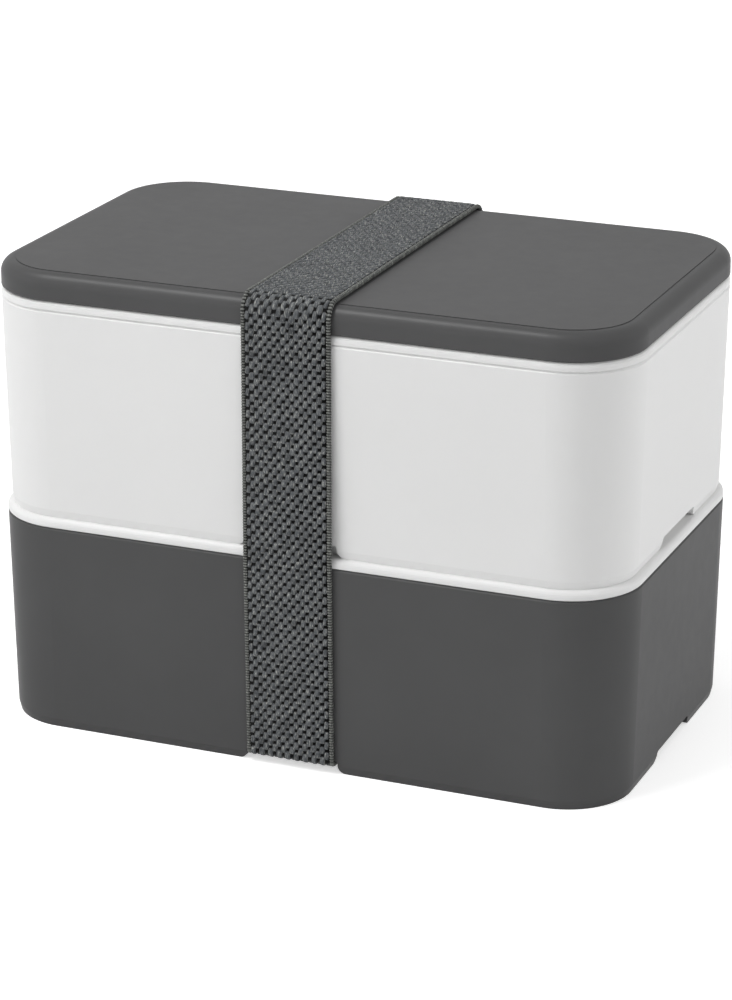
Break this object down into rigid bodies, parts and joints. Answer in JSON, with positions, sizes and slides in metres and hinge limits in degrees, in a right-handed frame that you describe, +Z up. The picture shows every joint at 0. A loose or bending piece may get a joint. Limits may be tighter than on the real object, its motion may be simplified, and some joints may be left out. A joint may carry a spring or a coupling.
{
  "type": "bento lunch box",
  "caption": "Stacked bento lunch box: drafted containers with sealed inner lids and a flat cover, held together by a woven elastic strap.",
  "frame": {"origin": "middle of the footprint, on the plane that the foot stands on", "axes": "+X along the long side, front face towards -Y, +Z up"},
  "size_m": [0.18, 0.1112, 0.1301],
  "materials": {
    "dark_plastic": "satin",
    "white_plastic": "satin",
    "silicone": "matt",
    "elastic_webbing": "woven",
    "thread": "twisted"
  },
  "bodies": {
    "lower_tier": {"lower_container": "dark_plastic", "strap_stitching": "thread"},
    "lower_lid": {"lower_inner_lid": "white_plastic", "lower_lid_seal": "silicone"},
    "upper_tier": {"upper_container": "white_plastic"},
    "upper_lid": {"upper_inner_lid": "white_plastic", "upper_lid_seal": "silicone"},
    "cover": {"top_cover": "dark_plastic"},
    "strap": {"elastic_strap": "elastic_webbing"}
  },
  "joints": [
    {"name": "lower_lid_lift", "type": "slide", "parent": "lower_tier", "child": "lower_lid", "axis": [0, 0, 1], "range_m": [0, 0.02]},
    {"name": "upper_tier_lift", "type": "slide", "parent": "lower_lid", "child": "upper_tier", "axis": [0, 0, 1], "range_m": [0, 0.02]},
    {"name": "upper_lid_lift", "type": "slide", "parent": "upper_tier", "child": "upper_lid", "axis": [0, 0, 1], "range_m": [0, 0.02]},
    {"name": "cover_lift", "type": "slide", "parent": "upper_lid", "child": "cover", "axis": [0, 0, 1], "range_m": [0, 0.02]},
    {"name": "strap_stretch", "type": "slide", "parent": "cover", "child": "strap", "axis": [0, 0, 1], "range_m": [0, 0.02], "stiffness_N_per_m": 300, "deforming": ["elastic_strap"]}
  ]
}
